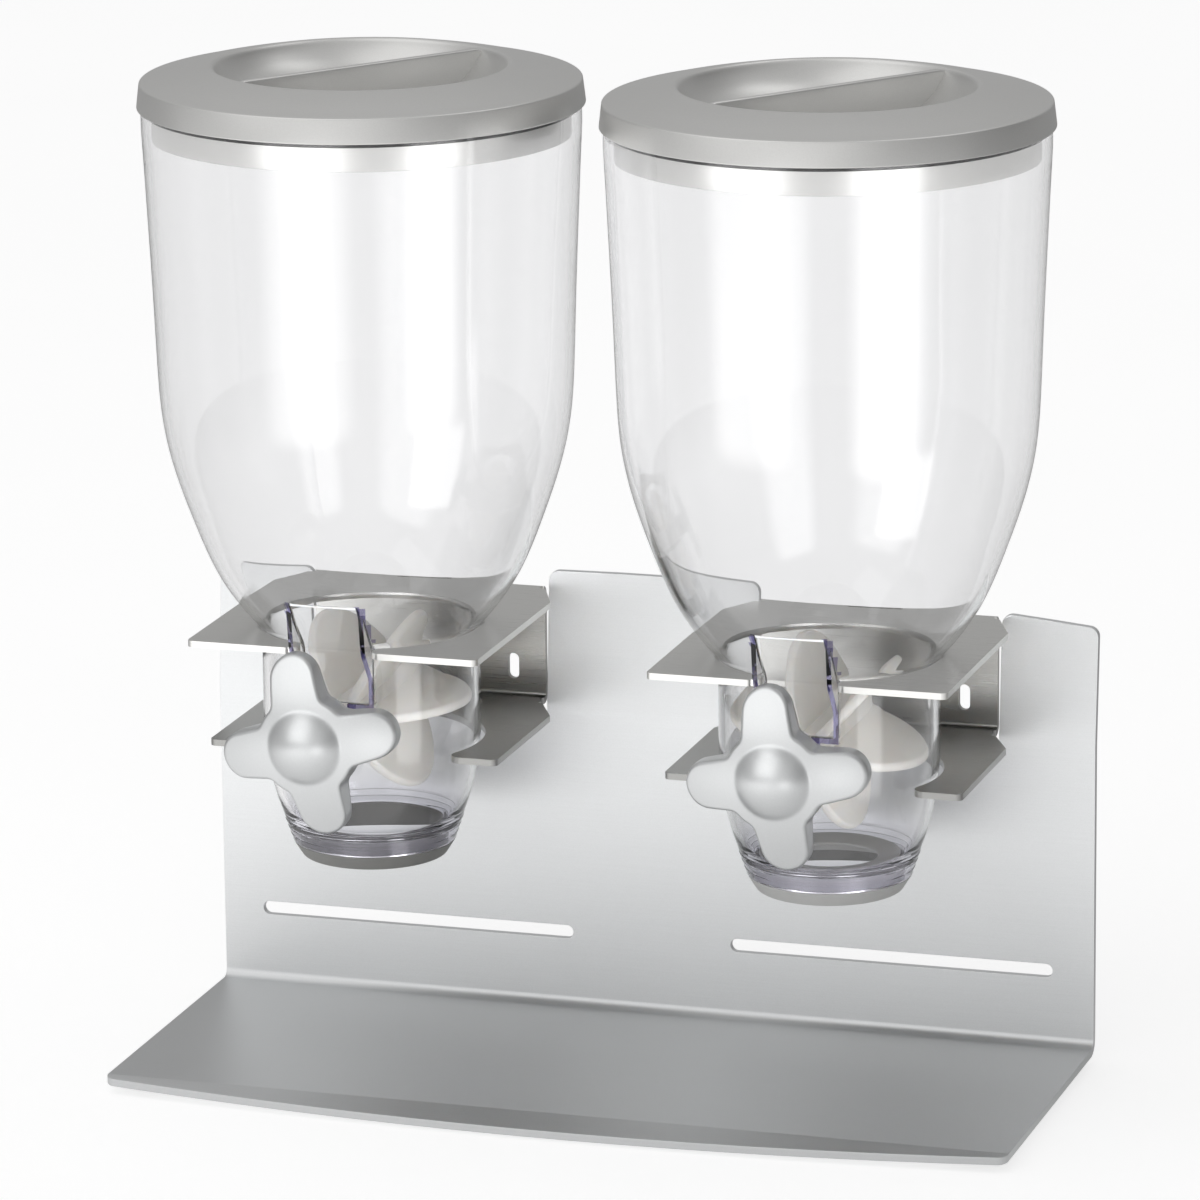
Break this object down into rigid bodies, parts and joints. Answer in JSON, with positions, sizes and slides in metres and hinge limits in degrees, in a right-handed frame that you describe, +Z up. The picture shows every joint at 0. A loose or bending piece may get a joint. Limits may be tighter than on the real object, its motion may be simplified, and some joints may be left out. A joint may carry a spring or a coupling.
{
  "type": "double cereal dispenser",
  "caption": "Free-standing twin dry food dispenser: two clear hoppers with lids, paddle wheels and turning knobs, held in ring brackets on a folded sheet stand.",
  "frame": {"origin": "middle of the stand on the table plane, in the plane through both dispenser axes", "axes": "+Z up, front faces -Y, X along the width with the left dispenser at -X"},
  "size_m": [0.36, 0.171, 0.3961],
  "materials": {
    "stand_sheet": "satin brushed sheet",
    "bracket_sheet": "satin brushed sheet",
    "foot_rubber": "matt black rubber",
    "clear_plastic": "clear polished plastic",
    "silver_plastic": "silver metallic plastic, satin",
    "seal_rubber": "black seal",
    "wheel_soft": "off-white soft plastic",
    "shaft_plastic": "off-white hard plastic",
    "knob_silver": "silver metallic plastic, satin",
    "collar_gray": "gray plastic",
    "reducer_gray": "light gray plastic"
  },
  "bodies": {
    "stand": {"stand_panel": "stand_sheet", "bracket_left": "bracket_sheet", "bracket_right": "bracket_sheet", "foot_front_left": "foot_rubber", "foot_front_right": "foot_rubber", "foot_rear_left": "foot_rubber", "foot_rear_right": "foot_rubber"},
    "dispenser_left": {"canister_left": "clear_plastic", "front_gate_left": "clear_plastic", "outlet_collar_left": "collar_gray"},
    "cover_left": {"lid_left": "silver_plastic", "lid_seal_left": "seal_rubber"},
    "rotor_left": {"paddle_wheel_left": "wheel_soft", "drive_shaft_left": "shaft_plastic", "knob_left": "knob_silver"},
    "dispenser_right": {"canister_right": "clear_plastic", "front_gate_right": "clear_plastic", "outlet_collar_right": "collar_gray", "outlet_reducer_right": "reducer_gray"},
    "cover_right": {"lid_right": "silver_plastic", "lid_seal_right": "seal_rubber"},
    "rotor_right": {"paddle_wheel_right": "wheel_soft", "drive_shaft_right": "shaft_plastic", "knob_right": "knob_silver"}
  },
  "joints": [
    {"name": "canister_lift_left", "type": "slide", "parent": "stand", "child": "dispenser_left", "axis": [0, 0, 1], "range_m": [0, 0.12]},
    {"name": "lid_lift_left", "type": "slide", "parent": "dispenser_left", "child": "cover_left", "axis": [0, 0, 1], "range_m": [0, 0.08]},
    {"name": "knob_turn_left", "type": "hinge", "parent": "dispenser_left", "child": "rotor_left", "pos_m": [-0.092, 0, 0.1474], "axis": [0, 1, 0], "continuous": true},
    {"name": "canister_lift_right", "type": "slide", "parent": "stand", "child": "dispenser_right", "axis": [0, 0, 1], "range_m": [0, 0.12]},
    {"name": "lid_lift_right", "type": "slide", "parent": "dispenser_right", "child": "cover_right", "axis": [0, 0, 1], "range_m": [0, 0.08]},
    {"name": "knob_turn_right", "type": "hinge", "parent": "dispenser_right", "child": "rotor_right", "pos_m": [0.092, 0, 0.1474], "axis": [0, 1, 0], "continuous": true}
  ]
}
